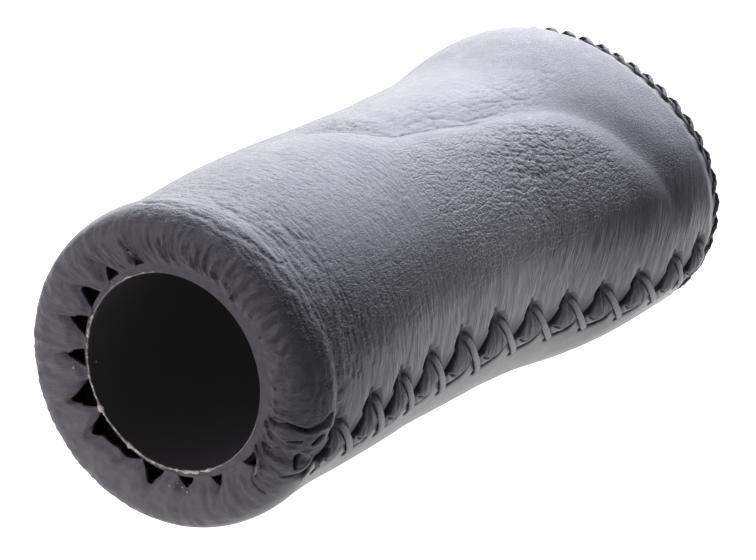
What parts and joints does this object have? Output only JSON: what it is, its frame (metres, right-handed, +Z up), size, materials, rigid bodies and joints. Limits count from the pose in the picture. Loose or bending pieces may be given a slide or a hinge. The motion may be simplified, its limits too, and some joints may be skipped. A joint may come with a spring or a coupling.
{
  "type": "handlebar grip",
  "caption": "Short leather-covered handlebar grip with a palm pad, a flared closed outer end, and a blind bore that presses onto a bicycle handlebar.",
  "frame": {"origin": "centre of the bore's mouth, on the end face of the plastic sleeve", "axes": "+X along the bore towards the closed flared outer end, +Z up when the grip lies on a table with its seam low on the -Y side"},
  "size_m": [0.0932, 0.0441, 0.0393],
  "materials": {
    "cover_leather": "smooth black cowhide with a fine pebble grain and a satin sheen",
    "cap_leather": "the same black leather, flat",
    "body_rubber": "matte black moulded rubber",
    "sleeve_plastic": "matte black moulded plastic",
    "pad_gel": "soft grey gel",
    "waxed_thread": "waxed black twisted thread",
    "dried_glue": "dried translucent off-white adhesive"
  },
  "bodies": {
    "root": {"bar_sleeve": "sleeve_plastic", "grip_body": "body_rubber", "palm_pad": "pad_gel", "leather_cover": "cover_leather", "end_cap": "cap_leather", "seam_thread": "waxed_thread", "rim_thread": "waxed_thread", "glue_bead": "dried_glue"}
  },
  "joints": []
}
